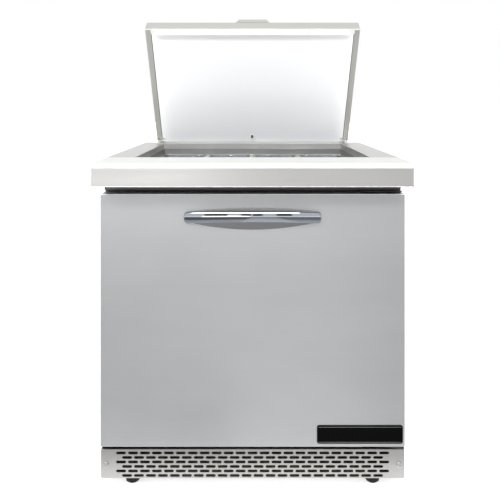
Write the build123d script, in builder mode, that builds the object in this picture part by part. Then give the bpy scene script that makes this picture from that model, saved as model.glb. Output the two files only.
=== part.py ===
from build123d import *
import math
import os

# Sandwich prep table: one-door refrigerated base, recessed pan well, hinged lid, cutting board.
# Millimetres, +Z up, front towards -Y, origin at the centre of the footprint on the floor.

# ---- driving dimensions ----
WIDTH = 813.0
DEPTH = 838.0
DECK_Z = 864.0
APRON_BOTTOM = 804.0
SHEET = 1.5
LIP = 15.0

FRONT = -DEPTH / 2
BACK = DEPTH / 2

BOARD_DEPTH = 176.0
BOARD_T = 12.7
LANDING_DROP = 19.5
BOARD_PIN_R = 4.0
BOARD_PIN_H = 8.0
BOARD_PIN_X = 300.0

WELL_HALF = 328.0
WELL_Y0 = -34.0
WELL_Y1 = 348.0
PAN_DROP = 41.0
PAN_W = 160.0
PAN_L = 176.0
PAN_H = 100.0
PAN_T = 1.0
PAN_RIM = 9.0
PAN_PITCH_X = 163.0
PAN_PITCH_Y = 182.0
PAN_ROW_Y = 66.0
PAN_LIFT_GAP = 0.05

CAB_HALF = 403.0
CAB_Y0 = -276.0
CAB_Y1 = 405.0
CAB_Z0 = 104.0
ROOM_HALF = 363.0
ROOM_Y1 = 365.0
ROOM_Z0 = 145.0
ROOM_Z1 = 764.0
STEP_Y = 150.0
STEP_Z = 360.0
WALL_T = 1.0

DOOR_Y0 = -336.0
DOOR_T = 55.0
DOOR_Z0 = 106.0
DOOR_Z1 = 775.0
DOOR_AXIS = (391.0, -297.0)
HINGE_PIN_R = 5.0
BUSH_R = 8.0
RUN_CLEAR = 0.05

BASE_HALF = 401.0
BASE_Z0 = 24.0
BASE_Z1 = 100.0
FOOT_X = 322.0
FOOT_Y = (-304.0, 360.0)

LID_HALF = 355.0
LID_T = 42.0
LID_AXIS = (371.0, DECK_Z + 11.6)
LID_FRONT = 482.0
LID_REAR = 3.0
LID_BASE = -10.6
LID_ANGLE = 54.2
HINGE_X = 340.0


def block(x, y, z, mode=Mode.ADD):
    """Axis-aligned box given by its three spans."""
    mid = ((x[0] + x[1]) / 2, (y[0] + y[1]) / 2, (z[0] + z[1]) / 2)
    with Locations(mid):
        Box(x[1] - x[0], y[1] - y[0], z[1] - z[0], mode=mode)


def rod(p, r, h, mode=Mode.ADD):
    """Vertical cylinder standing on p."""
    with Locations((p[0], p[1], p[2] + h / 2)):
        Cylinder(r, h, mode=mode)


def rod_x(p, r, length, mode=Mode.ADD):
    """Cylinder along X centred on p."""
    with Locations(p):
        Cylinder(r, length, rotation=(0, 90, 0), mode=mode)


def rod_y(p, r, length, mode=Mode.ADD):
    """Cylinder along Y centred on p."""
    with Locations(p):
        Cylinder(r, length, rotation=(90, 0, 0), mode=mode)


def save(shape, name):
    shape.label = name
    export_step(shape, f"parts/{name}.step")


def lid_pose(shape):
    """Turn a piece modelled closed about the lid axis to its open rest angle."""
    axis = Axis((0, LID_AXIS[0], LID_AXIS[1]), (1, 0, 0))
    return shape.rotate(axis, -LID_ANGLE)


os.makedirs("parts", exist_ok=True)

# ---- worktop ----
BOARD_Z = DECK_Z - BOARD_T
LANDING_Z = DECK_Z - LANDING_DROP
LEDGE_Y = FRONT + BOARD_DEPTH
HALF = WIDTH / 2
with BuildPart() as worktop:
    block((-HALF, HALF), (FRONT, BACK), (APRON_BOTTOM, DECK_Z))
    vertical = worktop.edges().filter_by(Axis.Z)
    fillet(vertical, 3.0)
    block((-HALF, HALF), (FRONT, LEDGE_Y), (BOARD_Z, DECK_Z), Mode.SUBTRACT)
    block((-WELL_HALF, WELL_HALF), (LEDGE_Y - 1, LEDGE_Y + 1), (BOARD_Z, DECK_Z), Mode.SUBTRACT)
    block((-WELL_HALF, WELL_HALF), (LEDGE_Y, WELL_Y0 + 1), (LANDING_Z, DECK_Z), Mode.SUBTRACT)
    block((-WELL_HALF, WELL_HALF), (WELL_Y0, WELL_Y1), (APRON_BOTTOM, DECK_Z), Mode.SUBTRACT)
    inner = HALF - SHEET
    side = WELL_HALF + SHEET
    block((-inner, inner), (WELL_Y1 + SHEET, BACK - SHEET), (APRON_BOTTOM + SHEET, DECK_Z - SHEET),
          Mode.SUBTRACT)
    for s in (-1, 1):
        span = sorted((s * side, s * inner))
        block(span, (LEDGE_Y + SHEET, WELL_Y1 + SHEET), (APRON_BOTTOM + SHEET, DECK_Z - SHEET),
              Mode.SUBTRACT)
    block((-inner, inner), (FRONT + SHEET, LEDGE_Y - SHEET), (APRON_BOTTOM + SHEET, BOARD_Z - SHEET),
          Mode.SUBTRACT)
    block((-inner, inner), (LEDGE_Y - SHEET - 1, WELL_Y0 - SHEET),
          (APRON_BOTTOM + SHEET, LANDING_Z - SHEET), Mode.SUBTRACT)
    block((-HALF + LIP, HALF - LIP), (FRONT + LIP, WELL_Y0 - SHEET), (APRON_BOTTOM, APRON_BOTTOM + SHEET),
          Mode.SUBTRACT)
    block((-HALF + LIP, HALF - LIP), (WELL_Y1 + SHEET, BACK - LIP), (APRON_BOTTOM, APRON_BOTTOM + SHEET),
          Mode.SUBTRACT)
    for s in (-1, 1):
        span = sorted((s * side, s * (HALF - LIP)))
        block(span, (WELL_Y0 - SHEET - 1, WELL_Y1 + SHEET + 1), (APRON_BOTTOM, APRON_BOTTOM + SHEET),
              Mode.SUBTRACT)
save(worktop.part, "worktop")

# ---- cutting board and its locating pins ----
with BuildPart() as board:
    block((-HALF, HALF), (FRONT, LEDGE_Y - 0.5), (BOARD_Z, DECK_Z))
    fillet(board.edges().filter_by(Axis.Z), 4.0)
    fillet(board.faces().sort_by(Axis.Z)[-1].edges(), 1.2)
    for s in (-1, 1):
        rod((s * BOARD_PIN_X, FRONT + BOARD_DEPTH / 2, BOARD_Z), BOARD_PIN_R + 0.5, BOARD_PIN_H + 1,
            Mode.SUBTRACT)
save(board.part, "board")

with BuildPart() as board_pins:
    for s in (-1, 1):
        rod((s * BOARD_PIN_X, FRONT + BOARD_DEPTH / 2, BOARD_Z), BOARD_PIN_R, BOARD_PIN_H)
    fillet(board_pins.faces().sort_by(Axis.Z)[-2:].edges(), 1.0)
save(board_pins.part, "board_pins")

# ---- pan well: liner ring, support frame ----
RIM_Z = DECK_Z - PAN_DROP
FRAME_Z = RIM_Z - PAN_T - PAN_LIFT_GAP
WELL_MID = (WELL_Y0 + WELL_Y1) / 2
with BuildPart() as well_liner:
    block((-WELL_HALF, WELL_HALF), (WELL_Y0, WELL_Y1), (ROOM_Z1, LANDING_Z))
    block((-WELL_HALF + SHEET, WELL_HALF - SHEET), (WELL_Y0 + SHEET, WELL_Y1 - SHEET),
          (ROOM_Z1, LANDING_Z), Mode.SUBTRACT)
save(well_liner.part, "well_liner")

with BuildPart() as pan_frame:
    fx = WELL_HALF - SHEET
    fy0 = WELL_Y0 + SHEET
    fy1 = WELL_Y1 - SHEET
    block((-fx, fx), (fy0, fy1), (RIM_Z - 5, FRAME_Z))
    for j in range(2):
        for i in range(4):
            cx = (i - 1.5) * PAN_PITCH_X
            cy = PAN_ROW_Y + j * PAN_PITCH_Y
            block((cx - PAN_W / 2 + 5, cx + PAN_W / 2 - 5), (cy - PAN_L / 2 + 5, cy + PAN_L / 2 - 5),
                  (RIM_Z - 5, FRAME_Z), Mode.SUBTRACT)
    for y in (fy0, fy1 - 2):
        block((-fx, fx), (y, y + 2), (RIM_Z - 17, RIM_Z - 5))
    mid_y = PAN_ROW_Y + PAN_PITCH_Y / 2
    block((-fx, fx), (mid_y - 1, mid_y + 1), (RIM_Z - 17, RIM_Z - 5))
save(pan_frame.part, "pan_frame")

# ---- sixth-size food pans ----
for j in range(2):
    for i in range(4):
        cx = (i - 1.5) * PAN_PITCH_X
        cy = PAN_ROW_Y + j * PAN_PITCH_Y
        top = RIM_Z
        with BuildPart() as pan:
            body_w = PAN_W - 2 * PAN_RIM
            body_l = PAN_L - 2 * PAN_RIM
            with BuildSketch(Plane.XY.offset(top)) as mouth:
                with Locations((cx, cy)):
                    RectangleRounded(body_w, body_l, 16)
            with BuildSketch(Plane.XY.offset(top - PAN_H)) as foot:
                with Locations((cx, cy)):
                    RectangleRounded(body_w - 22, body_l - 22, 14)
            loft()
            with BuildSketch(Plane.XY.offset(top - 1.0)) as rim:
                with Locations((cx, cy)):
                    RectangleRounded(PAN_W - 1, PAN_L - 1, 12)
            extrude(amount=1.0)
            with BuildSketch(Plane.XY.offset(top)) as mouth_in:
                with Locations((cx, cy)):
                    RectangleRounded(body_w - 2 * PAN_T, body_l - 2 * PAN_T, 15)
            with BuildSketch(Plane.XY.offset(top - PAN_H + PAN_T)) as foot_in:
                with Locations((cx, cy)):
                    RectangleRounded(body_w - 22 - 2 * PAN_T, body_l - 22 - 2 * PAN_T, 13)
            loft(mode=Mode.SUBTRACT)
        save(pan.part, f"pan_{'fb'[j]}{i + 1}")

# ---- cabinet: outer shell, foam, room liner, header ----
HEADER_Y = -286.0
HEADER_Z = 779.0
CMP_Z = STEP_Z - 42.0
CMP_Y = STEP_Y + 42.0
with BuildPart() as cabinet_shell:
    block((-CAB_HALF, CAB_HALF), (CAB_Y0, CAB_Y1), (CAB_Z0, APRON_BOTTOM))
    block((-CAB_HALF + SHEET, CAB_HALF - SHEET), (CAB_Y0, CAB_Y1 - SHEET), (CAB_Z0, APRON_BOTTOM),
          Mode.SUBTRACT)
    block((-CAB_HALF + 12, CAB_HALF - 12), (CAB_Y1 - SHEET - 1, CAB_Y1 + 1), (CAB_Z0, CMP_Z), Mode.SUBTRACT)
save(cabinet_shell.part, "cabinet_shell")

with BuildPart() as insulation:
    block((-CAB_HALF + SHEET, CAB_HALF - SHEET), (CAB_Y0 + SHEET, CAB_Y1 - SHEET), (CAB_Z0, APRON_BOTTOM))
    block((-ROOM_HALF - WALL_T, ROOM_HALF + WALL_T), (CAB_Y0, ROOM_Y1 + WALL_T),
          (STEP_Z - WALL_T, ROOM_Z1 + WALL_T), Mode.SUBTRACT)
    block((-ROOM_HALF - WALL_T, ROOM_HALF + WALL_T), (CAB_Y0, STEP_Y + WALL_T),
          (ROOM_Z0 - WALL_T, STEP_Z), Mode.SUBTRACT)
    block((-CAB_HALF + 12, CAB_HALF - 12), (CMP_Y, CAB_Y1), (CAB_Z0, CMP_Z), Mode.SUBTRACT)
    block((-WELL_HALF, WELL_HALF), (WELL_Y0, WELL_Y1), (ROOM_Z1 - 1, APRON_BOTTOM), Mode.SUBTRACT)
save(insulation.part, "insulation")

with BuildPart() as room_liner:
    block((-ROOM_HALF - WALL_T, ROOM_HALF + WALL_T), (CAB_Y0 + SHEET, ROOM_Y1 + WALL_T),
          (STEP_Z - WALL_T, ROOM_Z1 + WALL_T))
    block((-ROOM_HALF - WALL_T, ROOM_HALF + WALL_T), (CAB_Y0 + SHEET, STEP_Y + WALL_T),
          (ROOM_Z0 - WALL_T, STEP_Z))
    block((-ROOM_HALF, ROOM_HALF), (CAB_Y0, ROOM_Y1), (STEP_Z, ROOM_Z1), Mode.SUBTRACT)
    block((-ROOM_HALF, ROOM_HALF), (CAB_Y0, STEP_Y), (ROOM_Z0, STEP_Z), Mode.SUBTRACT)
    block((-WELL_HALF, WELL_HALF), (WELL_Y0, WELL_Y1), (ROOM_Z1 - 1, ROOM_Z1 + 2), Mode.SUBTRACT)
save(room_liner.part, "room_liner")

with BuildPart() as face_frame:
    block((-CAB_HALF + SHEET, CAB_HALF - SHEET), (CAB_Y0, CAB_Y0 + SHEET), (CAB_Z0, APRON_BOTTOM))
    block((-ROOM_HALF, ROOM_HALF), (CAB_Y0 - 1, CAB_Y0 + SHEET + 1), (ROOM_Z0, ROOM_Z1), Mode.SUBTRACT)
save(face_frame.part, "face_frame")

with BuildPart() as header:
    block((-CAB_HALF, CAB_HALF), (HEADER_Y, CAB_Y0), (HEADER_Z, APRON_BOTTOM))
    block((-CAB_HALF + SHEET, CAB_HALF - SHEET), (HEADER_Y + SHEET, CAB_Y0),
          (HEADER_Z, APRON_BOTTOM - SHEET), Mode.SUBTRACT)
save(header.part, "header")

# ---- base: tray, grille, feet ----
with BuildPart() as base_tray:
    block((-BASE_HALF, BASE_HALF), (DOOR_Y0 + 2, CAB_Y1), (BASE_Z0, CAB_Z0))
    block((-BASE_HALF + 2, BASE_HALF - 2), (DOOR_Y0 + 4, CAB_Y1 - 2), (BASE_Z0 + 2, CAB_Z0), Mode.SUBTRACT)
    block((-BASE_HALF - 1, BASE_HALF + 1), (DOOR_Y0, CAB_Y0), (BASE_Z1, CAB_Z0 + 1), Mode.SUBTRACT)
    block((-BASE_HALF + 20, BASE_HALF - 20), (DOOR_Y0, DOOR_Y0 + 5), (BASE_Z0 + 2, BASE_Z1 - 4),
          Mode.SUBTRACT)
    block((-BASE_HALF + 30, BASE_HALF - 30), (CAB_Y1 - 3, CAB_Y1 + 1), (BASE_Z0 + 8, CAB_Z0), Mode.SUBTRACT)
save(base_tray.part, "base_tray")

SLOT_PITCH = 31.6
SLOT_LEN = 26.0
SLOT_H = 7.2
SLOT_Z = (90.5, 78.6, 66.7, 54.8, 42.9, 31.0)
GRILLE_T = 2.0
with BuildPart() as grille:
    block((-BASE_HALF, BASE_HALF), (DOOR_Y0, DOOR_Y0 + GRILLE_T), (BASE_Z0, BASE_Z1))
    fillet(grille.edges().filter_by(Axis.Y), 5)
    with BuildSketch(Plane.XZ.offset(-DOOR_Y0)) as slots:
        for row, z in enumerate(SLOT_Z):
            count = 23 - row % 2
            for k in range(count):
                with Locations(((k - (count - 1) / 2) * SLOT_PITCH, z)):
                    SlotOverall(SLOT_LEN, SLOT_H)
    extrude(amount=-GRILLE_T * 2, mode=Mode.SUBTRACT)
save(grille.part, "grille")

with BuildPart() as grille_screws:
    for s in (-1, 1):
        rod_y((s * 388, DOOR_Y0 - 1.25, 59), 8, 2.5)
    fillet(grille_screws.faces().sort_by(Axis.Y)[:2].edges(), 1.5)
    for s in (-1, 1):
        block((s * 388 - 5, s * 388 + 5), (DOOR_Y0 - 2.6, DOOR_Y0 - 1.4), (58.3, 59.7), Mode.SUBTRACT)
        block((s * 388 - 0.7, s * 388 + 0.7), (DOOR_Y0 - 2.6, DOOR_Y0 - 1.4), (54, 64), Mode.SUBTRACT)
save(grille_screws.part, "grille_screws")

for tag, sx in (("l", -1), ("r", 1)):
    for end, fy in zip(("f", "b"), FOOT_Y):
        with BuildPart() as foot:
            with BuildSketch(Plane.XZ.offset(-fy)) as section:
                with BuildLine():
                    Polyline((0, 0), (13, 0), (18, 4), (20, 14), (20, 21), (14, BASE_Z0),
                             (0, BASE_Z0), (0, 0))
                make_face()
            revolve(axis=Axis((0, fy, 0), (0, 0, 1)))
        placed = foot.part.moved(Location((sx * FOOT_X, 0, 0)))
        save(placed, f"foot_{end}{tag}")

# ---- door ----
DOOR_Y1 = DOOR_Y0 + DOOR_T
SKIN = 1.2
AX, AY = DOOR_AXIS
with BuildPart() as door_skin:
    block((-CAB_HALF, CAB_HALF), (DOOR_Y0, DOOR_Y1), (DOOR_Z0, DOOR_Z1))
    fillet(door_skin.edges().filter_by(Axis.Y), 3.5)
    fillet(door_skin.faces().sort_by(Axis.Y)[0].edges(), 2.5)
    block((-CAB_HALF + SKIN, CAB_HALF - SKIN), (DOOR_Y0 + SKIN, DOOR_Y1), (DOOR_Z0 + SKIN, DOOR_Z1 - SKIN),
          Mode.SUBTRACT)
    rod((AX, AY, DOOR_Z0 - 1), BUSH_R, DOOR_Z1 - DOOR_Z0 + 2, Mode.SUBTRACT)
save(door_skin.part, "door_skin")

with BuildPart() as door_liner:
    inset = SKIN
    block((-CAB_HALF + inset, CAB_HALF - inset), (DOOR_Y1 - 1.5, DOOR_Y1),
          (DOOR_Z0 + inset, DOOR_Z1 - inset))
    block((-330, 330), (DOOR_Y1 - 14, DOOR_Y1), (180, 730))
    block((-328.5, 328.5), (DOOR_Y1 - 12.5, DOOR_Y1), (181.5, 728.5), Mode.SUBTRACT)
    rod((AX, AY, DOOR_Z0 - 1), BUSH_R, DOOR_Z1 - DOOR_Z0 + 2, Mode.SUBTRACT)
save(door_liner.part, "door_liner")

with BuildPart() as door_foam:
    block((-CAB_HALF + SKIN, CAB_HALF - SKIN), (DOOR_Y0 + SKIN, DOOR_Y1 - 1.5),
          (DOOR_Z0 + SKIN, DOOR_Z1 - SKIN))
    block((-330, 330), (DOOR_Y1 - 14, DOOR_Y1), (180, 730), Mode.SUBTRACT)
    rod((AX, AY, DOOR_Z0 - 1), BUSH_R, DOOR_Z1 - DOOR_Z0 + 2, Mode.SUBTRACT)
    fillet(door_foam.faces().sort_by(Axis.Y)[0].edges(), 2.0)
save(door_foam.part, "door_foam")

with BuildPart() as door_gasket:
    block((-374, 374), (DOOR_Y1, CAB_Y0 - 0.2), (130, 771))
    block((-352, 352), (DOOR_Y1 - 1, CAB_Y0), (152, 749), Mode.SUBTRACT)
    block((-364.5, 364.5), (CAB_Y0 - 1.2, CAB_Y0), (139.5, 761.5), Mode.SUBTRACT)
    block((-361.5, 361.5), (CAB_Y0 - 1.3, CAB_Y0 - 0.2), (142.5, 758.5))
    block((-352, 352), (DOOR_Y1 - 1, CAB_Y0), (152, 749), Mode.SUBTRACT)
save(door_gasket.part, "door_gasket")

HANDLE_Z = 713.0
HANDLE_HALF = 181.0
HANDLE_BOW = 24.0
HANDLE_RISE = 7.6
ROSE_T = 2.0
with BuildPart() as door_handle:
    for k in range(-6, 7):
        t = k / 6.0
        out = HANDLE_BOW * (1 - abs(t) ** 2.4)
        tall = 30.0
        deep = 9 + 5 * (1 - abs(t))
        yc = DOOR_Y0 - deep / 2 - out + abs(t)
        zc = HANDLE_Z + HANDLE_RISE * (1 - t * t)
        with BuildSketch(Plane((t * HANDLE_HALF, yc, zc), x_dir=(0, 1, 0), z_dir=(1, 0, 0))):
            Ellipse(deep / 2, tall / 2)
    loft()
    block((-HANDLE_HALF - 20, HANDLE_HALF + 20), (DOOR_Y0, DOOR_Y0 + 20), (600, 800), Mode.SUBTRACT)
    with BuildSketch(Plane.XZ.offset(-DOOR_Y0)) as rose:
        with BuildLine():
            ThreePointArc((-172, 702), (0, 682), (172, 702))
            Line((172, 702), (172, 712))
            ThreePointArc((172, 712), (0, 722), (-172, 712))
            Line((-172, 712), (-172, 702))
        make_face()
    extrude(amount=ROSE_T)
save(door_handle.part, "door_handle")

with BuildPart() as door_badge:
    block((170, 397), (DOOR_Y0 - 2, DOOR_Y0), (115.5, 164.0))
    fillet(door_badge.edges().filter_by(Axis.Y), 6)
    fillet(door_badge.faces().sort_by(Axis.Y)[0].edges(), 0.8)
save(door_badge.part, "door_badge")

BUSH_H = 24.0
with BuildPart() as door_bushes:
    for z0 in (DOOR_Z1 - BUSH_H, DOOR_Z0):
        rod((AX, AY, z0), BUSH_R, BUSH_H)
        rod((AX, AY, z0), HINGE_PIN_R + RUN_CLEAR, BUSH_H, Mode.SUBTRACT)
save(door_bushes.part, "door_bushes")

HINGE_SPAN = (290, 401)
PLATE_T = 3.5
with BuildPart() as door_hinges:
    with BuildSketch(Plane.XY.offset(BASE_Z1)) as foot_plate:
        with BuildLine():
            Spline((290, -277), (306, -308), (345, -326), (401, -333))
            Polyline((401, -333), (401, -277), (290, -277))
        make_face()
    extrude(amount=PLATE_T)
    rod((AX, AY, BASE_Z1), HINGE_PIN_R, 26)
    rod((AX, AY, BASE_Z1), 9, 5)
    block(HINGE_SPAN, (-312, -277), (HEADER_Z - 2, HEADER_Z))
    block(HINGE_SPAN, (HEADER_Y - PLATE_T, HEADER_Y), (HEADER_Z - 2, APRON_BOTTOM - 4))
    rod((AX, AY, DOOR_Z1 - 20), HINGE_PIN_R, HEADER_Z - DOOR_Z1 + 20)
    for x in (310, 345, 384):
        rod_y((x, HEADER_Y - 5, APRON_BOTTOM - 13), 4.5, 3)
save(door_hinges.part, "door_hinges")

# ---- lid, modelled closed and then turned open ----
LY = LID_AXIS[0]
LZ = LID_AXIS[1]
LID_Y0 = LY - LID_FRONT
LID_Y1 = LY + LID_REAR
LID_Z0 = LZ + LID_BASE
LID_Z1 = LID_Z0 + LID_T
RAIL = 20.0
REAR_RAIL = 4.0
PANEL_T = 1.2
with BuildPart() as lid_shell:
    block((-LID_HALF, LID_HALF), (LID_Y0, LID_Y1), (LID_Z0, LID_Z1))
    fillet(lid_shell.edges().filter_by(Axis.Z), 4.0)
    fillet(lid_shell.faces().sort_by(Axis.Z)[-1].edges(), 2.5)
    block((-LID_HALF + 1.2, LID_HALF - 1.2), (LID_Y0 + 1.2, LID_Y1 - 1.2), (LID_Z0 + 1.2, LID_Z1 - 1.2),
          Mode.SUBTRACT)
    block((-LID_HALF + RAIL, LID_HALF - RAIL), (LID_Y0 + RAIL, LID_Y1 - REAR_RAIL), (LID_Z0, LID_Z0 + 1.2),
          Mode.SUBTRACT)
    for s in (-1, 1):
        span = (s * HINGE_X - 14, s * HINGE_X + 14)
        block(span, (LY - 16, LID_Y1 + 1), (LID_Z0 - 1, LZ + 14), Mode.SUBTRACT)
save(lid_pose(lid_shell.part), "lid_shell")

with BuildPart() as lid_liner:
    block((-LID_HALF + RAIL, LID_HALF - RAIL), (LID_Y0 + RAIL, LID_Y1 - REAR_RAIL),
          (LID_Z0, LID_Z0 + PANEL_T))
    for s in (-1, 1):
        span = (s * HINGE_X - 15, s * HINGE_X + 15)
        block(span, (LY - 17, LID_Y1 + 1), (LID_Z0 - 1, LID_Z0 + 3), Mode.SUBTRACT)
save(lid_pose(lid_liner.part), "lid_liner")

with BuildPart() as lid_foam:
    block((-LID_HALF + 1.2, LID_HALF - 1.2), (LID_Y0 + 1.2, LID_Y1 - 1.2), (LID_Z0 + 10, LID_Z1 - 1.2))
    fillet(lid_foam.edges().filter_by(Axis.Z), 3.0)
    fillet(lid_foam.faces().sort_by(Axis.Z)[-1].edges(), 1.5)
    block((-LID_HALF + RAIL + 1, LID_HALF - RAIL - 1), (LID_Y0 + RAIL, LID_Y1 - REAR_RAIL),
          (LID_Z0 + PANEL_T, LID_Z0 + 10))
    for s in (-1, 1):
        span = (s * HINGE_X - 14, s * HINGE_X + 14)
        block(span, (LY - 17, LID_Y1 + 1), (LID_Z0 - 1, LZ + 15), Mode.SUBTRACT)
save(lid_pose(lid_foam.part), "lid_foam")

with BuildPart() as lid_seal:
    block((-WELL_HALF + 8, WELL_HALF - 8), (LID_Y0 + 6, LID_Y0 + 14), (LANDING_Z + 0.6, LID_Z0))
    fillet(lid_seal.edges().filter_by(Axis.X).sort_by(Axis.Z)[:2], 2.0)
save(lid_pose(lid_seal.part), "lid_seal")

PULL_H = 22.0
with BuildPart() as lid_handle:
    with BuildSketch(Plane.XZ.offset(-LID_Y0)) as web:
        with BuildLine():
            Polyline((-57, LID_Z1 - 2.5), (-46, LID_Z1 + PULL_H), (46, LID_Z1 + PULL_H), (57, LID_Z1 - 2.5),
                     (-57, LID_Z1 - 2.5))
        make_face()
    extrude(amount=-20)
    fillet(lid_handle.edges().filter_by(Axis.X).sort_by(Axis.Z)[-2:], 3)
    block((-60, 60), (LID_Y0 - 1, LID_Y0 + 21), (LID_Z1 - 3, LID_Z1), Mode.SUBTRACT)
    block((-60, 60), (LID_Y0 + 2.5, LID_Y0 + 21), (LID_Z1 - 1, LID_Z1 + PULL_H - 2.5), Mode.SUBTRACT)
    block((-57, 57), (LID_Y0 + 2.5, LID_Y0 + 16), (LID_Z1, LID_Z1 + 1.5))
save(lid_pose(lid_handle.part), "lid_handle")

LID_PIN_R = 4.0
ARM_LEN = 80.0
with BuildPart() as lid_knuckles:
    for s in (-1, 1):
        x0 = s * HINGE_X
        rod_x((x0, LY, LZ), 8.5, 10)
        block((x0 - 4, x0 + 4), (LY - ARM_LEN, LY - 6), (LID_Z0 + 1.2, LID_Z0 + 10))
        block((x0 - 5, x0 + 5), (LY - 15.5, LY), (LZ - 4, LZ + 7))
        rod_x((x0, LY, LZ), LID_PIN_R + RUN_CLEAR, 12, Mode.SUBTRACT)
save(lid_pose(lid_knuckles.part), "lid_knuckles")

with BuildPart() as lid_hinges:
    for s in (-1, 1):
        x0 = s * HINGE_X
        for cx in (x0 - 10.5, x0 + 10.5):
            block((cx - 2, cx + 2), (LY - 8, LY + 10), (DECK_Z, LZ))
            rod_x((cx, LY, LZ), 9.0, 4)
        block((x0 - 12.5, x0 + 12.5), (LY + 10, LY + 38), (DECK_Z, DECK_Z + 2.5))
        block((x0 - 12.5, x0 + 12.5), (LY - 8, LY + 10), (DECK_Z, DECK_Z + 1.5))
        rod_x((x0, LY, LZ), LID_PIN_R, 25)
        rod((x0, LY + 25, DECK_Z + 2.5), 4.5, 2)
save(lid_hinges.part, "lid_hinges")

# ---- interior: shelf, pilasters, clips ----
SHELF_Z = 470.0
WIRE = 2.4
SHELF_RAIL = 3.9
with BuildPart() as shelf:
    sx = 345.0
    sy0 = -262.0
    sy1 = 222.0
    for y in (sy0, (sy0 + sy1) / 2, sy1):
        rod_x((0, y, SHELF_Z), 3.2, 2 * sx)
    for x in (-sx, sx):
        rod_y((x, (sy0 + sy1) / 2, SHELF_Z), SHELF_RAIL, sy1 - sy0 + 12)
    count = 27
    for k in range(1, count):
        rod_y((-sx + 2 * sx * k / count, (sy0 + sy1) / 2, SHELF_Z + 4.2), WIRE, sy1 - sy0)
save(shelf.part, "shelf")

PILASTER_Y = (-200.0, 120.0)
CLIP_Z = SHELF_Z - SHELF_RAIL
with BuildPart() as pilasters:
    for s in (-1, 1):
        for y in PILASTER_Y:
            span = sorted((s * ROOM_HALF, s * (ROOM_HALF - 5)))
            block(span, (y - 9, y + 9), (STEP_Z + 20, 700))
            for k in range(13):
                z = STEP_Z + 35 + 25.0 * k
                cut = sorted((s * (ROOM_HALF - 6), s * (ROOM_HALF - 2)))
                block(cut, (y - 5, y + 5), (z, z + 3.5), Mode.SUBTRACT)
save(pilasters.part, "pilasters")

with BuildPart() as shelf_clips:
    for s in (-1, 1):
        for y in PILASTER_Y:
            span = sorted((s * (ROOM_HALF - 5), s * (ROOM_HALF - 22)))
            block(span, (y - 7, y + 7), (CLIP_Z - 3, CLIP_Z))
            leg = sorted((s * (ROOM_HALF - 5), s * (ROOM_HALF - 7)))
            block(leg, (y - 7, y + 7), (CLIP_Z - 14, CLIP_Z))
save(shelf_clips.part, "shelf_clips")

# ---- evaporator: cover, coil, fan, drip pan, thermostat ----
EV_Y = 255.0
EV_Z = (500.0, 700.0)
FAN_AX = (-150.0, 585.0)
FAN_R = 62.0
with BuildPart() as evap_cover:
    block((-290, 290), (EV_Y, ROOM_Y1), EV_Z)
    block((-288.8, 288.8), (EV_Y + 1.2, ROOM_Y1), (EV_Z[0] - 1, EV_Z[1] - 1.2), Mode.SUBTRACT)
    rod_y((FAN_AX[0], EV_Y, FAN_AX[1]), FAN_R + 4, 10, Mode.SUBTRACT)
    for k in range(8):
        block((-20, 250), (EV_Y - 1, EV_Y + 3), (530 + 18 * k, 537 + 18 * k), Mode.SUBTRACT)
    rod_y((270, EV_Y, 670), 4.5, 10, Mode.SUBTRACT)
save(evap_cover.part, "evap_cover")

with BuildPart() as evap_coil:
    for k in range(36):
        x = -60 + 9.0 * k
        block((x, x + 0.8), (300, 355), (515, 680))
    for row in range(2):
        for k in range(6):
            rod_x((97.5, 314 + 27 * row, 530 + 27 * k), 4.8, 335)
save(evap_coil.part, "evap_coil")

with BuildPart() as evap_fan_mount:
    rod_y((FAN_AX[0], 316, FAN_AX[1]), 24, 40)
    for a in (0, 90):
        half = FAN_R + 8
        if a:
            block((FAN_AX[0] - 3, FAN_AX[0] + 3), (320, 323), (FAN_AX[1] - half, FAN_AX[1] + half))
        else:
            block((FAN_AX[0] - half, FAN_AX[0] + half), (320, 323), (FAN_AX[1] - 3, FAN_AX[1] + 3))
    block((FAN_AX[0] - half, FAN_AX[0] + half), (320, ROOM_Y1), (FAN_AX[1] - half, FAN_AX[1] - half + 4))
    rod_y((FAN_AX[0], 283, FAN_AX[1]), 3.0, 30)
save(evap_fan_mount.part, "evap_fan_motor")


def bladed_fan(centre, radius, hub_r, bore_r, depth, blades):
    """Axial fan about Y: hub with a bore and pitched blades."""
    with BuildPart() as fan:
        rod_y(centre, hub_r, depth)
        for n in range(blades):
            turn = Plane(centre, x_dir=(1, 0, 0), z_dir=(0, -1, 0))
            spin = turn.location * Location((0, 0, 0), (0, 0, 360.0 * n / blades))
            reach = (radius + hub_r * 0.8) / 2
            with Locations(spin * Location((reach, 0, 0), (32, 0, 0))):
                Box(radius - hub_r * 0.8, radius * 0.62, 1.6)
        rod_y(centre, bore_r, depth * 3, Mode.SUBTRACT)
    return fan.part


save(bladed_fan((FAN_AX[0], 282, FAN_AX[1]), FAN_R - 3, 16, 3.05, 18, 5), "evap_fan")

with BuildPart() as drip_pan:
    block((-292, 292), (EV_Y - 4, ROOM_Y1), (EV_Z[0] - 22, EV_Z[0] - 1))
    block((-290.8, 290.8), (EV_Y - 2.8, ROOM_Y1 - 1.2), (EV_Z[0] - 20.8, EV_Z[0]), Mode.SUBTRACT)
save(drip_pan.part, "drip_pan")

with BuildPart() as thermostat:
    block((255, 284), (EV_Y + 3, EV_Y + 38), (650, 690))
    rod_y((270, EV_Y - 3, 670), 3.0, 14)
save(thermostat.part, "thermostat")

with BuildPart() as thermostat_knob:
    rod_y((270, EV_Y - 8.5, 670), 14, 14)
    for n in range(16):
        a = math.radians(360 / 16 * n)
        rod_y((270 + 14 * math.cos(a), EV_Y - 8.5, 670 + 14 * math.sin(a)), 1.4, 14, Mode.SUBTRACT)
    block((269.2, 270.8), (EV_Y - 16.5, EV_Y - 14.5), (672, 683), Mode.SUBTRACT)
    rod_y((270, EV_Y - 6, 670), 3.05, 10, Mode.SUBTRACT)
save(thermostat_knob.part, "thermostat_knob")

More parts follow.
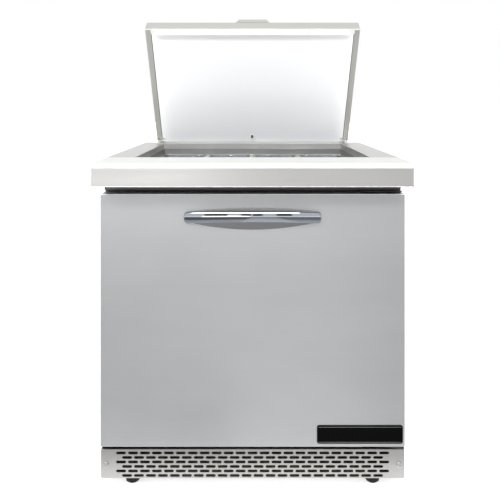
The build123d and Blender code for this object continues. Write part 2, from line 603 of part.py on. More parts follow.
# ---- machine space: compressor, condenser, fan, lines, controls, rear cover ----
FLOOR = BASE_Z0 + 2
with BuildPart() as compressor:
    with BuildSketch(Plane.XZ.offset(-300)) as can:
        with BuildLine():
            Polyline((0, FLOOR + 22), (62, FLOOR + 22), (74, FLOOR + 34), (78, FLOOR + 50),
                     (80, FLOOR + 92), (76, FLOOR + 94), (76, FLOOR + 130), (66, FLOOR + 154),
                     (44, FLOOR + 168), (0, FLOOR + 174), (0, FLOOR + 22))
        make_face()
    revolve(axis=Axis((0, 300, 0), (0, 0, 1)))
    block((-86, 86), (228, 372), (FLOOR + 18, FLOOR + 22))
    for px in (-70, 70):
        for py in (240, 360):
            rod((px, py, FLOOR + 22), 5, 8)
    block((78, 104), (272, 328), (FLOOR + 60, FLOOR + 110))
placed = compressor.part.moved(Location((-255, 0, 0)))
save(placed, "compressor")

with BuildPart() as grommets:
    for px in (-70, 70):
        for py in (240, 360):
            rod((px - 255, py, FLOOR), 10, 18)
            rod((px - 255, py, FLOOR + 7), 12, 4)
save(grommets.part, "compressor_mounts")

CF = (190.0, 150.0)
CF_R = 100.0
with BuildPart() as condenser:
    for k in range(44):
        x = 60 + 6.0 * k
        block((x, x + 0.7), (216, 256), (FLOOR, 278))
    for row in range(2):
        for k in range(9):
            rod_x((189, 226 + 20 * row, 44 + 27 * k), 4.5, 272)
save(condenser.part, "condenser")

with BuildPart() as shroud:
    block((52, 328), (262, 300), (FLOOR, 282))
    block((53.2, 326.8), (261, 298.8), (FLOOR + 1.2, 280.8), Mode.SUBTRACT)
    rod_y((CF[0], 299, CF[1]), CF_R + 5, 12, Mode.SUBTRACT)
save(shroud.part, "condenser_shroud")

save(bladed_fan((CF[0], 297, CF[1]), CF_R, 24, 4.05, 22, 6), "condenser_fan")

with BuildPart() as fan_motor:
    rod_y((CF[0], 350, CF[1]), 34, 50)
    rod_y((CF[0], 306, CF[1]), 4.0, 44)
    block((CF[0] - 4, CF[0] + 4), (340, 344), (FLOOR, CF[1]))
    block((CF[0] - 30, CF[0] + 30), (330, 354), (FLOOR, FLOOR + 2))
save(fan_motor.part, "condenser_fan_motor")

with BuildPart() as lines:
    for path in (
        ((-160, 345, 80), (-110, 345, 80), (-110, 345, 44), (20, 345, 44), (20, 246, 44), (47, 246, 44)),
        ((-176, 262, 150), (-120, 262, 150), (-120, 225, 150), (-120, 225, 230), (47, 225, 230),
         (47, 226, 260)),
    ):
        with BuildLine() as run:
            FilletPolyline(*path, radius=0.45 if path[-1][2] == 260 else 12)
        with BuildSketch(Plane(origin=path[0], z_dir=(1, 0, 0))):
            Circle(4)
        sweep(transition=Transition.ROUND)
save(lines.part, "refrigerant_lines")

with BuildPart() as control_box:
    block((-60, 30), (362, 398), (150, 290))
    fillet(control_box.edges().filter_by(Axis.Y), 4)
    rod_y((-15, 399, 250), 12, 4)
    block((-35, 5), (398, 400.5), (175, 205))
save(control_box.part, "control_box")

with BuildPart() as rear_cover:
    block((-CAB_HALF + 6, CAB_HALF - 6), (CAB_Y1, CAB_Y1 + SHEET), (BASE_Z0 + 4, CMP_Z + 10))
    for col in range(8):
        for row in range(9):
            x = -330 + 94.0 * col
            z = 55 + 26.0 * row
            block((x - 34, x + 34), (CAB_Y1 - 1, CAB_Y1 + 3), (z, z + 8), Mode.SUBTRACT)
save(rear_cover.part, "rear_cover")

with BuildPart() as power_inlet:
    block((330, 372), (CAB_Y1 + SHEET, CAB_Y1 + SHEET + 8), (300, 326))
    fillet(power_inlet.edges().filter_by(Axis.Y), 4)
    block((337, 365), (CAB_Y1 + SHEET + 3, CAB_Y1 + SHEET + 9), (304, 322), Mode.SUBTRACT)
    for x in (344, 351, 358):
        block((x - 1, x + 1), (CAB_Y1 + SHEET + 2, CAB_Y1 + SHEET + 7), (309, 317))
save(power_inlet.part, "power_inlet")
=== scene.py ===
import math

import bmesh
import bpy
from mathutils import Matrix, Vector


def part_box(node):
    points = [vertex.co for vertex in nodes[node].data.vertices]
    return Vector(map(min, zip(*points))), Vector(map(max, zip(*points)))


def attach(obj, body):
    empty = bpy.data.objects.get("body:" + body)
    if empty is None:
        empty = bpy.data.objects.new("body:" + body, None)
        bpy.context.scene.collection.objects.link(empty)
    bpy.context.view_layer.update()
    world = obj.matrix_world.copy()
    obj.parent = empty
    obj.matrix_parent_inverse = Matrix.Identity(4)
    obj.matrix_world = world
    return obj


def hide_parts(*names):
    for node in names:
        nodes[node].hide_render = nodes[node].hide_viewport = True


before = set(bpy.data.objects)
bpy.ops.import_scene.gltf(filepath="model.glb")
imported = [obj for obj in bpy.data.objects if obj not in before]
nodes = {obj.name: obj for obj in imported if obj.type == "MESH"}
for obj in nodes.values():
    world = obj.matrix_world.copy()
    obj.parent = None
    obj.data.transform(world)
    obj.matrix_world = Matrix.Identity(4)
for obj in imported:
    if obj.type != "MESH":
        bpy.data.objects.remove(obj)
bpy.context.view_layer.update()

# ---- node materials ----


def new_material(name):
    mat = bpy.data.materials.new(name)
    mat.use_nodes = True
    tree = mat.node_tree
    shader = tree.nodes["Principled BSDF"]
    return mat, tree, shader


def noise(tree, scale, detail=4.0, rough=0.55):
    """Noise in the object's own metres, stretched by scale along each axis."""
    coord = tree.nodes.new("ShaderNodeTexCoord")
    mapping = tree.nodes.new("ShaderNodeMapping")
    mapping.inputs["Scale"].default_value = scale
    tex = tree.nodes.new("ShaderNodeTexNoise")
    tex.inputs["Scale"].default_value = 1.0
    tex.inputs["Detail"].default_value = detail
    tex.inputs["Roughness"].default_value = rough
    tree.links.new(coord.outputs["Object"], mapping.inputs["Vector"])
    tree.links.new(mapping.outputs["Vector"], tex.inputs["Vector"])
    return tex


def ramp(tree, source, stops):
    node = tree.nodes.new("ShaderNodeValToRGB")
    while len(node.color_ramp.elements) < len(stops):
        node.color_ramp.elements.new(0.5)
    for element, (place, colour) in zip(node.color_ramp.elements, stops):
        element.position = place
        element.color = (*colour, 1)
    tree.links.new(source, node.inputs["Fac"])
    return node


def grey(v):
    return (v, v, v)


def tint(colour, k):
    return tuple(min(1.0, c * k) for c in colour)


def bump(tree, shader, source, strength, distance):
    node = tree.nodes.new("ShaderNodeBump")
    node.inputs["Strength"].default_value = strength
    node.inputs["Distance"].default_value = distance
    tree.links.new(source, node.inputs["Height"])
    tree.links.new(node.outputs["Normal"], shader.inputs["Normal"])


def brushed(name, colour, rough, grain, contrast=0.05, wave=0.012):
    """Brushed sheet steel: long fine streaks, broad soft tone drift, slight waviness."""
    mat, tree, shader = new_material(name)
    shader.inputs["Metallic"].default_value = 1.0
    fine = noise(tree, grain, 6.0, 0.7)
    broad = noise(tree, (3.0, 3.0, 5.0), 2.0)
    streak = ramp(tree, fine.outputs["Fac"],
                  ((0.3, tint(colour, 1 - contrast)), (0.7, tint(colour, 1 + contrast))))
    drift = ramp(tree, broad.outputs["Fac"], ((0.3, grey(0.94)), (0.7, grey(1.0))))
    mix = tree.nodes.new("ShaderNodeMix")
    mix.data_type = "RGBA"
    mix.blend_type = "MULTIPLY"
    mix.inputs["Factor"].default_value = 1.0
    tree.links.new(streak.outputs["Color"], mix.inputs["A"])
    tree.links.new(drift.outputs["Color"], mix.inputs["B"])
    tree.links.new(mix.outputs["Result"], shader.inputs["Base Color"])
    gloss = ramp(tree, fine.outputs["Fac"],
                 ((0.25, grey(rough * 0.85)), (0.75, grey(rough * 1.2))))
    tree.links.new(gloss.outputs["Color"], shader.inputs["Roughness"])
    bump(tree, shader, fine.outputs["Fac"], 0.12, wave * 0.01)
    return mat


def moulded(name, colour, rough, spread=0.06, scale=60.0, grainy=0.05,
            metallic=0.0, coat=0.0, specular=0.5, glow=0.0):
    """Moulded plastic, rubber or paint: mottled tone, uneven gloss and a fine skin texture."""
    mat, tree, shader = new_material(name)
    shader.inputs["Metallic"].default_value = metallic
    shader.inputs["Coat Weight"].default_value = coat
    shader.inputs["Specular IOR Level"].default_value = specular
    shader.inputs["Emission Color"].default_value = (1.0, 1.0, 1.0, 1.0)
    shader.inputs["Emission Strength"].default_value = glow
    broad = noise(tree, (scale * 0.15,) * 3, 3.0)
    fine = noise(tree, (scale * 12,) * 3, 3.0)
    tone = ramp(tree, broad.outputs["Fac"],
                ((0.3, tint(colour, 1 - spread)), (0.7, tint(colour, 1 + spread))))
    tree.links.new(tone.outputs["Color"], shader.inputs["Base Color"])
    gloss = ramp(tree, broad.outputs["Fac"],
                 ((0.2, grey(rough * 0.85)), (0.8, grey(rough * 1.15))))
    tree.links.new(gloss.outputs["Color"], shader.inputs["Roughness"])
    bump(tree, shader, fine.outputs["Fac"], grainy, 0.0004)
    return mat


# Noise scales that give streaks along one axis, or an even grain.
FRONT_GRAIN = (2.0, 2.0, 520.0)
TOP_GRAIN = (2.0, 520.0, 520.0)
PAN_GRAIN = (90.0, 90.0, 220.0)
PART_GRAIN = (200.0, 200.0, 400.0)

steel_door = brushed("steel_door", (0.555, 0.56, 0.565), 0.42, FRONT_GRAIN, 0.03)
steel_top = brushed("steel_top", (0.575, 0.57, 0.555), 0.30, TOP_GRAIN, 0.010, 0.002)
steel_side = brushed("steel_side", (0.46, 0.46, 0.46), 0.33, FRONT_GRAIN, 0.04)
steel_grille = brushed("steel_grille", (0.43, 0.425, 0.42), 0.36, FRONT_GRAIN, 0.04)
# Well liner and pan frame: the worktop's steel darkened, a painted shade for the shaded well.
steel_well_painted_shade = brushed("steel_well_painted_shade", (0.30, 0.295, 0.287), 0.34, FRONT_GRAIN, 0.05)
# Pans: the same steel darkened, a painted shade down in the well; their rims keep a lighter tone.
steel_pan = brushed("steel_pan", (0.24, 0.265, 0.29), 0.24, PAN_GRAIN, 0.05)
steel_rim = brushed("steel_rim", (0.50, 0.52, 0.54), 0.20, PAN_GRAIN, 0.05)
# A much lighter copy of the steel, a painted highlight along the folded edges.
steel_painted_highlight = brushed("steel_painted_highlight", (0.90, 0.90, 0.89), 0.30, FRONT_GRAIN, 0.02)
# Door hinges: steel darkened as a painted shade in the gap under the worktop.
steel_dark_painted_shade = brushed("steel_dark_painted_shade", (0.10, 0.10, 0.105), 0.35, PART_GRAIN, 0.10)
# Header: a near-black steel, a painted shade in the recess above the door.
steel_gap_painted_shade = brushed("steel_gap_painted_shade", (0.13, 0.13, 0.128), 0.40, FRONT_GRAIN, 0.05)
steel_lid = brushed("steel_lid", (0.49, 0.49, 0.465), 0.36, TOP_GRAIN, 0.03)
steel_part = brushed("steel_part", (0.45, 0.45, 0.45), 0.30, PART_GRAIN, 0.06)
# Dark satin steel for the plate under the handle: a painted shade of the bow on the door.
steel_painted_shade_plate = brushed("steel_painted_shade_plate", (0.24, 0.24, 0.25), 0.30, FRONT_GRAIN, 0.03)
galvanised = brushed("galvanised", (0.36, 0.37, 0.38), 0.5, (30.0, 30.0, 30.0), 0.18)
alloy = brushed("aluminium_liner", (0.60, 0.61, 0.62), 0.38, (60.0, 60.0, 200.0), 0.05)
fins = brushed("coil_fins", (0.55, 0.56, 0.57), 0.40, (400.0, 40.0, 40.0), 0.08)
chrome = brushed("chrome", (0.40, 0.425, 0.465), 0.05, (12.0, 12.0, 12.0), 0.01, 0.0)
copper = brushed("copper", (0.70, 0.36, 0.20), 0.28, (80.0, 80.0, 80.0), 0.12)
lid_panel = moulded("lid_panel", (0.74, 0.745, 0.76), 0.10, 0.006, 8.0, 0.0, metallic=0.05)
lid_hem = moulded("lid_hem", (0.56, 0.56, 0.55), 0.35, 0.01, 30.0, 0.02)
board_white = moulded("board_white", (0.565, 0.57, 0.54), 0.45, 0.01, 40.0, 0.08)
foam_tan = moulded("foam_tan", (0.80, 0.70, 0.42), 0.9, 0.08, 80.0, 0.4)
black_gloss = moulded("black_gloss", (0.002, 0.002, 0.0022), 0.35, 0.15, 30.0, 0.01, specular=0.03)
black_rubber = moulded("black_rubber", (0.008, 0.008, 0.008), 0.7, 0.2, 60.0, 0.2, specular=0.25)
black_plastic = moulded("black_plastic", (0.02, 0.02, 0.021), 0.42, 0.15, 60.0, 0.12)
black_paint = moulded("black_paint", (0.014, 0.014, 0.015), 0.30, 0.2, 50.0, 0.15, coat=0.3)
dark_grey = moulded("dark_grey", (0.045, 0.045, 0.045), 0.5, 0.15, 50.0, 0.1)
grey_rubber = moulded("grey_rubber", (0.10, 0.10, 0.10), 0.6, 0.08, 50.0, 0.15)
seal_white = moulded("seal_white", (0.80, 0.80, 0.78), 0.5, 0.04, 60.0, 0.1)
white_coat = moulded("white_coat", (0.80, 0.80, 0.79), 0.32, 0.03, 60.0, 0.1)
nylon = moulded("nylon", (0.74, 0.73, 0.69), 0.45, 0.04, 60.0, 0.1)

FINISH = {
    "worktop": steel_top, "board": board_white, "board_pins": steel_part,
    "well_liner": steel_well_painted_shade, "pan_frame": steel_well_painted_shade, "cabinet_shell": steel_side,
    "insulation": foam_tan, "room_liner": alloy, "face_frame": grey_rubber, "header": steel_gap_painted_shade,
    "base_tray": steel_side, "grille": steel_grille, "grille_screws": steel_part,
    "door_hinges": steel_dark_painted_shade, "lid_hinges": steel_part, "shelf": white_coat,
    "pilasters": steel_part, "shelf_clips": steel_part, "evap_cover": alloy, "evap_coil": fins,
    "evap_fan_motor": black_plastic, "drip_pan": alloy, "thermostat": black_plastic,
    "compressor": black_paint, "compressor_mounts": black_rubber, "condenser": fins,
    "condenser_shroud": black_paint, "condenser_fan_motor": galvanised,
    "refrigerant_lines": copper, "control_box": black_plastic, "rear_cover": galvanised,
    "power_inlet": black_plastic, "door_skin": steel_door, "door_liner": steel_side,
    "door_foam": foam_tan, "door_gasket": grey_rubber, "door_handle": chrome,
    "door_badge": black_gloss, "door_bushes": nylon, "lid_shell": steel_lid,
    "lid_liner": lid_panel, "lid_foam": foam_tan, "lid_seal": seal_white,
    "lid_handle": steel_lid, "lid_knuckles": steel_part, "evap_fan": black_plastic,
    "condenser_fan": fins, "thermostat_knob": black_gloss,
}
SMOOTH_ANGLE = math.radians(32)
for name, obj in nodes.items():
    if name.startswith("pan_") and name != "pan_frame":
        mat = steel_pan
    elif name.startswith("foot_"):
        mat = black_rubber
    else:
        mat = FINISH[name]
    obj.data.materials.clear()
    obj.data.materials.append(mat)
    obj.data.shade_smooth()
    obj.data.set_sharp_from_angle(angle=SMOOTH_ANGLE)

# ---- mesh helpers ----


def finish_mesh(bm, name, mat, body, angle=35):
    """Turn bm into an object that rides body; edges over angle degrees stay sharp."""
    bmesh.ops.remove_doubles(bm, verts=bm.verts, dist=1e-6)
    bmesh.ops.recalc_face_normals(bm, faces=bm.faces)
    mesh = bpy.data.meshes.new(name)
    bm.to_mesh(mesh)
    bm.free()
    mesh.materials.append(mat)
    mesh.shade_smooth()
    mesh.set_sharp_from_angle(angle=math.radians(angle))
    obj = bpy.data.objects.new(name, mesh)
    bpy.context.scene.collection.objects.link(obj)
    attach(obj, body)
    return obj


def cross_axes(axis):
    """Two unit vectors square to axis."""
    pick = Vector((0, 0, 1)) if abs(axis.z) < 0.9 else Vector((1, 0, 0))
    u = axis.cross(pick).normalized()
    return u, axis.cross(u)


def circle(centre, u, v, radius, sides):
    return [centre + radius * (math.cos(a) * u + math.sin(a) * v)
            for a in (2 * math.pi * k / sides for k in range(sides))]


def skin(bm, rings, closed=False):
    """Quads between rings of the same count, with an end face on each open end."""
    pairs = list(zip(rings, rings[1:]))
    if closed:
        pairs.append((rings[-1], rings[0]))
    for a, b in pairs:
        sides = len(a)
        for k in range(sides):
            bm.faces.new((a[k], a[(k + 1) % sides], b[(k + 1) % sides], b[k]))
    if not closed:
        bm.faces.new(list(reversed(rings[0])))
        bm.faces.new(rings[-1])


def tube(bm, path, radius, sides=12, closed=False):
    """Round bar along a list of points, with square cut or joined ends."""
    rings = []
    count = len(path)
    normal = None
    for i, p in enumerate(path):
        before = path[(i - 1) % count] if closed or i else path[0]
        after = path[(i + 1) % count] if closed or i < count - 1 else path[-1]
        along = (after - before).normalized()
        if normal is None:
            normal = cross_axes(along)[0]
        normal = (normal - along * normal.dot(along)).normalized()
        ring = circle(p, normal, along.cross(normal), radius, sides)
        rings.append([bm.verts.new(q) for q in ring])
    skin(bm, rings, closed)


def turned(bm, centre, axis, profile, sides=24):
    """Solid of revolution: profile is (radius, height) pairs along axis from centre."""
    axis = Vector(axis).normalized()
    u, v = cross_axes(axis)
    rings = []
    for r, h in profile:
        ring = circle(Vector(centre) + axis * h, u, v, r, sides)
        rings.append([bm.verts.new(q) for q in ring])
    skin(bm, rings)


def plate(bm, low, high, bevel=0.0, turn=Matrix()):
    """Slab between two corners, placed by turn, with bevelled edges if asked."""
    low, high = Vector(low), Vector(high)
    verts = bmesh.ops.create_cube(bm, size=1.0)["verts"]
    place = turn @ Matrix.Translation((low + high) / 2) @ Matrix.Diagonal((*(high - low), 1))
    bmesh.ops.transform(bm, matrix=place, verts=verts)
    if bevel:
        edges = list({e for v in verts for e in v.link_edges})
        bmesh.ops.bevel(bm, geom=edges, offset=bevel, segments=2, affect="EDGES", profile=0.5)


def screw(bm, centre, axis, radius=0.0045, height=0.0018):
    """Low domed screw head."""
    turned(bm, centre, axis, (
        (radius, 0.0), (radius, height * 0.35), (radius * 0.86, height * 0.72),
        (radius * 0.55, height * 0.95), (radius * 0.35, height), (radius * 0.3, height * 0.55),
    ), 16)


def ring_path(cx, y, cz, radius):
    """Points of a circle that faces along Y."""
    return circle(Vector((cx, y, cz)), Vector((1, 0, 0)), Vector((0, 0, 1)), radius, 48)


# ---- door handle: a chrome bow over a dark lens-shaped plate, a painted shade below the bow ----
door_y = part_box("door_skin")[0].y
BOW_Z = 0.713
BOW_HALF = 0.181
BOW_REACH = 0.024
BOW_TALL = 0.030
BOW_DEEP = 0.009
BOW_MID_DEEP = 0.005
BOW_RISE = 0.0076
END_FROM = 0.955
SQUARENESS = 0.95
BOW_STEPS = 84
BOW_SIDES = 36
bm = bmesh.new()
rings = []
for i in range(BOW_STEPS + 1):
    t = math.sin(math.pi * (i / BOW_STEPS - 0.5))
    reach = BOW_REACH * (1 - abs(t) ** 2.4)
    end = max(0.0, abs(t) - END_FROM) / (1 - END_FROM)
    tall = BOW_TALL * math.sqrt(1 - 0.75 * end ** 2)
    deep = BOW_DEEP + BOW_MID_DEEP * (1 - abs(t))
    mid_y = door_y - deep / 2 - reach + 0.001 * abs(t)
    mid_z = BOW_Z + BOW_RISE * (1 - t * t)
    ring = []
    for k in range(BOW_SIDES):
        a = 2 * math.pi * k / BOW_SIDES
        c, s = math.cos(a), math.sin(a)
        dy = deep / 2 * math.copysign(abs(c) ** SQUARENESS, c)
        dz = tall / 2 * math.copysign(abs(s) ** SQUARENESS, s)
        ring.append(bm.verts.new((t * BOW_HALF, min(mid_y - dy, door_y), mid_z + dz)))
    rings.append(ring)
skin(bm, rings)
handle = finish_mesh(bm, "handle_bow", chrome, "door", 50)

# Dark lens plate under the bow, standing in for the bow's shadow on the door: painted shade.
SHADE_PLATE_HALF = 0.172
SHADE_PLATE_LOW, SHADE_PLATE_SAG = 0.702, 0.020
SHADE_PLATE_HIGH, SHADE_PLATE_CROWN = 0.712, 0.010
SHADE_PLATE_T = 0.002
SHADE_PLATE_FLARE = 0.0012
SHADE_PLATE_STEPS = 48
bm = bmesh.new()
sections = []
for i in range(SHADE_PLATE_STEPS + 1):
    t = -1 + 2 * i / SHADE_PLATE_STEPS
    x = SHADE_PLATE_HALF * t
    under = SHADE_PLATE_LOW - SHADE_PLATE_SAG * (1 - t * t)
    over = SHADE_PLATE_HIGH + SHADE_PLATE_CROWN * (1 - t * t)
    corners = ((door_y - SHADE_PLATE_T, under), (door_y - SHADE_PLATE_T, over),
               (door_y, over + SHADE_PLATE_FLARE), (door_y, under - SHADE_PLATE_FLARE))
    sections.append([bm.verts.new((x, y, z)) for y, z in corners])
skin(bm, sections)
finish_mesh(bm, "handle_shade_plate", steel_painted_shade_plate, "door", 40)
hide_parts("door_handle")

# ---- badge: a thin plain line near the top and the foot of the blank black plate ----
LINE_INSET = 0.004
LINE_T = 0.0008
b_low, b_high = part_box("door_badge")
bm = bmesh.new()
for z in (b_low.z + LINE_INSET, b_high.z - LINE_INSET - LINE_T):
    plate(bm, (b_low.x + LINE_INSET, b_low.y - 0.0003, z),
          (b_high.x - LINE_INSET, b_low.y + 0.0005, z + LINE_T))
finish_mesh(bm, "badge_lines", steel_part, "door")

# ---- pans: rolled rims ----
RIM_INSET = 0.0009
RIM_CORNER = 0.012
RIM_DROP = 0.0004
for node in sorted(n for n in nodes if n.startswith("pan_") and n != "pan_frame"):
    p_low, p_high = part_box(node)
    c = (p_low + p_high) / 2
    hx = (p_high.x - p_low.x) / 2 - RIM_INSET - RIM_CORNER
    hy = (p_high.y - p_low.y) / 2 - RIM_INSET - RIM_CORNER
    path = []
    for sx, sy, start in ((1, 1, 0), (-1, 1, 90), (-1, -1, 180), (1, -1, 270)):
        for k in range(7):
            a = math.radians(start + 90 * k / 6)
            path.append(Vector((c.x + sx * hx + RIM_CORNER * math.cos(a),
                                c.y + sy * hy + RIM_CORNER * math.sin(a), p_high.z - RIM_DROP)))
    bm = bmesh.new()
    tube(bm, path, 0.0011, 8, closed=True)
    finish_mesh(bm, "rim_" + node, steel_rim, node, 60)

# ---- lid: hem, dark side lines of painted shade, bumper, all built closed and turned to the rest angle; hinge caps ----
LID_OPEN = 54.2
LID_LENGTH = 0.482
LID_HALF = 0.3545
TRIM_X = 0.335
SKIN_T = 0.0002
LID_AXIS = Vector((0, 0.371, 0.8756))
LID_TURN = (Matrix.Translation(LID_AXIS) @ Matrix.Rotation(math.radians(-LID_OPEN), 4, "X")
            @ Matrix.Translation(-LID_AXIS))
lid_base = LID_AXIS.z - 0.0106
lid_front = LID_AXIS.y - LID_LENGTH


def on_lid(bm, name, mat):
    bmesh.ops.transform(bm, matrix=LID_TURN, verts=bm.verts)
    return finish_mesh(bm, name, mat, "lid")


bm = bmesh.new()
plate(bm, (-LID_HALF, lid_front + 0.0005, lid_base - 0.0005),
      (LID_HALF, lid_front + 0.0055, lid_base + 0.0002), SKIN_T)
plate(bm, (-TRIM_X - 0.002, lid_front + 0.0050, lid_base - 0.0004),
      (TRIM_X + 0.002, lid_front + 0.0215, lid_base + 0.0004), SKIN_T)
on_lid(bm, "lid_hem", lid_hem)

# Dark grey strips along the lid's sides: a painted shade line.
bm = bmesh.new()
for x in (-TRIM_X, TRIM_X):
    outer = x + math.copysign(0.002, x)
    plate(bm, (min(x, outer), lid_front + 0.022, lid_base - 0.0006),
          (max(x, outer), LID_AXIS.y - 0.022, lid_base + 0.0004), SKIN_T)
on_lid(bm, "lid_side_shade_line", dark_grey)

bm = bmesh.new()
BARREL_IN, BARREL_OUT = 0.3269, 0.3531
for x in (-BARREL_OUT, -BARREL_IN, BARREL_IN, BARREL_OUT):
    side = math.copysign(1, x) if abs(x) == BARREL_OUT else -math.copysign(1, x)
    turned(bm, (x, LID_AXIS.y, LID_AXIS.z), (side, 0, 0),
           ((0.0085, -0.0006), (0.0085, 0.0008), (0.0070, 0.0018), (0.0035, 0.0020)), 28)
finish_mesh(bm, "hinge_caps", black_plastic, "cabinet")

bm = bmesh.new()
STUD = Vector((-0.002, LID_AXIS.y - 0.031, lid_base))
turned(bm, STUD, (0, 0, -1), (
    (0.0034, 0.0004), (0.0034, 0.0095), (0.0040, 0.0100), (0.0040, 0.0118), (0.0028, 0.0126)), 20)
on_lid(bm, "lid_bumper", black_rubber)
bm = bmesh.new()
turned(bm, STUD, (0, 0, -1),
       ((0.0056, -0.0004), (0.0056, 0.0010), (0.0048, 0.0018), (0.0036, 0.0020)), 24)
on_lid(bm, "lid_bumper_washer", seal_white)

# ---- folded edges: top of the door, foot of the worktop's front, in a much lighter steel as painted highlights ----


def edge_bar(name, half, y, z, radius, body):
    bm = bmesh.new()
    tube(bm, [Vector((x, y, z)) for x in (-half, half)], radius, 12)
    finish_mesh(bm, name, steel_painted_highlight, body, 60)


edge_bar("door_edge", 0.399, -0.3349, 0.7741, 0.0017, "door")
edge_bar("worktop_edge", 0.4055, -0.4182, 0.8050, 0.0010, "cabinet")

# ---- worktop: folded bead along both sides of the opening, in the lid hem's matte grey as a painted highlight along the rolled edge ----
WELL_X = 0.3292
WELL_FRONT, WELL_REAR = -0.2430, 0.3400
BEAD_Z = 0.864 - 0.0006
bm = bmesh.new()
for x in (-WELL_X, WELL_X):
    tube(bm, [Vector((x, WELL_FRONT, BEAD_Z)), Vector((x, WELL_REAR, BEAD_Z))], 0.0010, 10)
finish_mesh(bm, "well_bead", lid_hem, "cabinet", 60)

# ---- cold side: fan guard, cover screws, dial marks ----
COVER_Y = 0.2550
EVAP_X, EVAP_Z = -0.150, 0.585
DIAL_X, DIAL_Z = 0.270, 0.670
bm = bmesh.new()
GUARD_RINGS = (
    (0.014, 0.2506), (0.030, 0.2508), (0.046, 0.2514), (0.060, 0.2524), (0.0705, 0.2539))
for r, y in GUARD_RINGS:
    tube(bm, ring_path(EVAP_X, y, EVAP_Z, r), 0.0010, 8, closed=True)
GUARD_SPOKE = (
    (0.010, 0.2520), (0.030, 0.2522), (0.046, 0.2528), (0.060, 0.2537), (0.0720, 0.2548))
for k in range(6):
    a = math.radians(30 + 60 * k)
    c, s = math.cos(a), math.sin(a)
    tube(bm, [Vector((EVAP_X + r * c, y, EVAP_Z + r * s)) for r, y in GUARD_SPOKE], 0.0011, 8)
    screw(bm, (EVAP_X + 0.0745 * c, COVER_Y, EVAP_Z + 0.0745 * s), (0, -1, 0), 0.0034, 0.0016)
finish_mesh(bm, "evap_fan_guard", steel_part, "cabinet", 50)

bm = bmesh.new()
for x in (-0.280, -0.03, 0.280):
    for z in (0.508, 0.692):
        screw(bm, (x, COVER_Y, z), (0, -1, 0), 0.0042, 0.0018)
finish_mesh(bm, "evap_cover_screws", steel_part, "cabinet")

bm = bmesh.new()
for k in range(10):
    a = math.radians(-45 + 30 * k)
    turn = Matrix.Translation((DIAL_X, COVER_Y - 0.0002, DIAL_Z)) @ Matrix.Rotation(-a, 4, "Y")
    plate(bm, (0.0172, -0.0002, -0.0004), (0.0205, 0.0004, 0.0004), 0.0, turn)
finish_mesh(bm, "dial_marks", dark_grey, "cabinet")

# ---- machine side: fan guard, weld seam, rear screws, blank data plate ----
COND_X, COND_Z = 0.190, 0.150
bm = bmesh.new()
CAGE_RINGS = (
    (0.042, 0.3178), (0.058, 0.3178), (0.074, 0.3178), (0.090, 0.3178), (0.1025, 0.3172))
for r, y in CAGE_RINGS:
    tube(bm, ring_path(COND_X, y, COND_Z, r), 0.0011, 8, closed=True)
CAGE_SPOKE = (
    (0.040, 0.3200), (0.090, 0.3200), (0.1030, 0.3190), (0.1085, 0.3140), (0.1100, 0.3010))
for k in range(8):
    a = math.radians(22.5 + 45 * k)
    c, s = math.cos(a), math.sin(a)
    tube(bm, [Vector((COND_X + r * c, y, COND_Z + r * s)) for r, y in CAGE_SPOKE], 0.0013, 8)
finish_mesh(bm, "condenser_fan_guard", steel_part, "cabinet", 50)

COMP_X, COMP_Y = -0.255, 0.300
SEAM_R, SEAM_Z = 0.0803, 0.1185
bm = bmesh.new()
seam = circle(Vector((COMP_X, COMP_Y, SEAM_Z)), Vector((1, 0, 0)), Vector((0, 1, 0)), SEAM_R, 56)
tube(bm, seam, 0.0016, 8, closed=True)
screw(bm, (-0.151, COMP_Y, 0.106), (1, 0, 0), 0.0045, 0.0020)
finish_mesh(bm, "compressor_seam", black_paint, "cabinet", 60)

REAR_Y = 0.4065
REAR_X = 0.388
bm = bmesh.new()
for x in (-REAR_X, -0.130, 0.130, REAR_X):
    for z in (0.040, 0.318):
        screw(bm, (x, REAR_Y, z), (0, 1, 0), 0.0042, 0.0018)
for x in (-REAR_X, REAR_X):
    screw(bm, (x, REAR_Y, 0.178), (0, 1, 0), 0.0042, 0.0018)
finish_mesh(bm, "rear_cover_screws", steel_part, "cabinet")

PLATE_X0, PLATE_X1 = 0.215, 0.325
PLATE_Z0, PLATE_Z1 = 0.560, 0.630
PLATE_Y = 0.4056
RIVET_INSET = 0.005
bm = bmesh.new()
plate(bm, (PLATE_X0, PLATE_Y - 0.0007, PLATE_Z0), (PLATE_X1, PLATE_Y, PLATE_Z1), SKIN_T)
for x in (PLATE_X0 + RIVET_INSET, PLATE_X1 - RIVET_INSET):
    for z in (PLATE_Z0 + RIVET_INSET, PLATE_Z1 - RIVET_INSET):
        turned(bm, (x, PLATE_Y - 0.0001, z), (0, 1, 0),
               ((0.0016, 0.0), (0.0016, 0.0004), (0.0009, 0.0009)), 12)
finish_mesh(bm, "data_plate", alloy, "cabinet")


# ---- screws on the hinges and the door liner ----


def screw_set(name, body, places, axis, radius, height):
    bm = bmesh.new()
    for place in places:
        screw(bm, place, axis, radius, height)
    finish_mesh(bm, name, steel_part, body)


screw_set("lid_hinge_screws", "cabinet",
          [(x, 0.396, 0.8685) for x in (-0.340, 0.340)], (0, 0, 1), 0.0042, 0.0016)
screw_set("door_hinge_screws", "cabinet",
          [(x, -0.3065, 0.791) for x in (0.310, 0.345, 0.384)], (0, -1, 0), 0.0040, 0.0014)
screw_set("door_liner_screws", "door",
          [(x, -0.2810, z) for x in (-0.341, -0.170, 0.0, 0.170, 0.341) for z in (0.166, 0.7395)],
          (0, 1, 0), 0.0030, 0.0012)

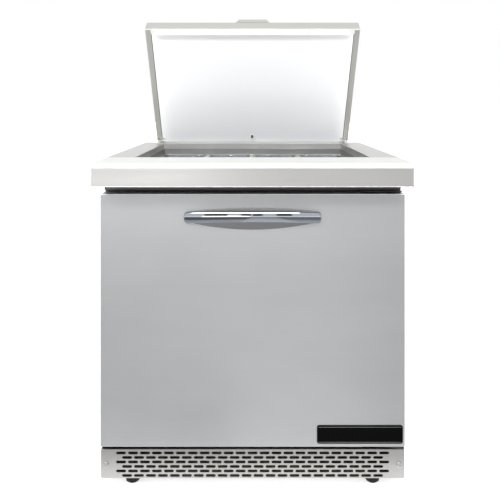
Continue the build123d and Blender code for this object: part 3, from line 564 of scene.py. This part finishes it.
# ---- camera: level, a little above the worktop, shifted down onto the object ----
cam_data = bpy.data.cameras.new("camera")
cam_data.lens = 45.85
cam_data.sensor_width = 36.0
cam_data.shift_x = -0.0052
cam_data.shift_y = -0.2956
cam = bpy.data.objects.new("camera", cam_data)
cam.location = (0.0, -2.019, 1.0175)
cam.rotation_euler = (math.radians(90), 0, 0)
bpy.context.scene.collection.objects.link(cam)
bpy.context.scene.camera = cam

# ---- light: a white room, key from the upper left, top, front fill, narrow beam on the lid ----
world = bpy.data.worlds.new("studio")
world.use_nodes = True
background = world.node_tree.nodes["Background"]
background.inputs["Color"].default_value = (1.0, 1.0, 1.0, 1.0)
background.inputs["Strength"].default_value = 1.0
bpy.context.scene.world = world
bpy.context.scene.view_settings.view_transform = "Standard"


def area(name, place, target, size, power, spread=180):
    """Rectangular lamp of power watts at place, aimed at target, its beam spread degrees wide."""
    data = bpy.data.lights.new(name, "AREA")
    data.shape = "RECTANGLE"
    data.size, data.size_y = size
    data.energy = power
    data.spread = math.radians(spread)
    lamp = bpy.data.objects.new(name, data)
    lamp.location = place
    aim = Vector(target) - Vector(place)
    lamp.rotation_euler = aim.to_track_quat("-Z", "Y").to_euler()
    bpy.context.scene.collection.objects.link(lamp)


area("key", (-1.6, -2.6, 2.8), (0, 0, 0.6), (1.6, 1.2), 14)
area("top", (0, -0.2, 3.4), (0, 0, 0.5), (3.0, 3.0), 14)
area("fill", (-0.2, -2.0, 2.0), (0, 0.25, 1.1), (3.0, 0.4), 40)
area("lid_beam", (0.0, -1.9, 2.1), (0, 0.33, 0.95), (1.4, 0.3), 0.9, 12)

# ---- floor: plain and pale ----
FLOOR_SIZE = 30.0
bm = bmesh.new()
bmesh.ops.create_grid(bm, x_segments=1, y_segments=1, size=FLOOR_SIZE)
floor_mesh = bpy.data.meshes.new("floor")
bm.to_mesh(floor_mesh)
bm.free()
floor_mesh.materials.append(
    moulded("floor_paint", grey(0.80), 0.9, 0.0, 10.0, 0.0, specular=0.0, glow=0.6))
floor = bpy.data.objects.new("floor", floor_mesh)
bpy.context.scene.collection.objects.link(floor)

# ---- cards: studio reflectors that only the shiny metal sees ----


def card(name, corners, colour, glow=0.0):
    mesh = bpy.data.meshes.new(name)
    mesh.from_pydata(corners, [], [tuple(range(len(corners)))])
    mesh.materials.append(
        moulded(name + "_paper", colour, 0.9, 0.02, 4.0, 0.0, specular=0.0, glow=glow))
    obj = bpy.data.objects.new(name, mesh)
    obj.visible_camera = False
    obj.visible_diffuse = False
    obj.visible_shadow = False
    bpy.context.scene.collection.objects.link(obj)


def upright(x0, x1, y, z0, z1):
    return ((x0, y, z0), (x1, y, z0), (x1, y, z1), (x0, y, z1))


# Floor cards fan out from MIRROR_Y, the camera's place mirrored in the door, so their side
# edges stay upright in it. Each row is near edge, far edge and the tones from left to right.
MIRROR_Y = 1.347
CARD_Z = 0.001
FAN_EDGES = (-1.0, -0.0463, 0.185, 1.0)
FLOOR_ROWS = ((-0.45, -1.5, (0.42, 0.58, 0.44)), (-1.5, -5.0, (0.16, 0.48, 0.26)))
for row, (near, far, tones) in enumerate(FLOOR_ROWS):
    for i, tone in enumerate(tones):
        a, b = FAN_EDGES[i], FAN_EDGES[i + 1]
        card("floor_card_%d_%d" % (row, i),
             ((a * (MIRROR_Y - near), near, CARD_Z), (b * (MIRROR_Y - near), near, CARD_Z),
              (b * (MIRROR_Y - far), far, CARD_Z), (a * (MIRROR_Y - far), far, CARD_Z)),
             (tone, tone, tone * 1.01))
card("left_card", upright(-3.0, -0.35, -5.1, 0, 0.9), grey(0.8), 2.2)
FLAG_SPANS = ((-1.5, -0.70), (-0.35, -0.12), (0.02, 0.32), (0.66, 1.15))
for i, (x0, x1) in enumerate(FLAG_SPANS):
    card("flag_%d" % i, upright(x0, x1, -2.7, 0.72, 1.45), grey(0.02))
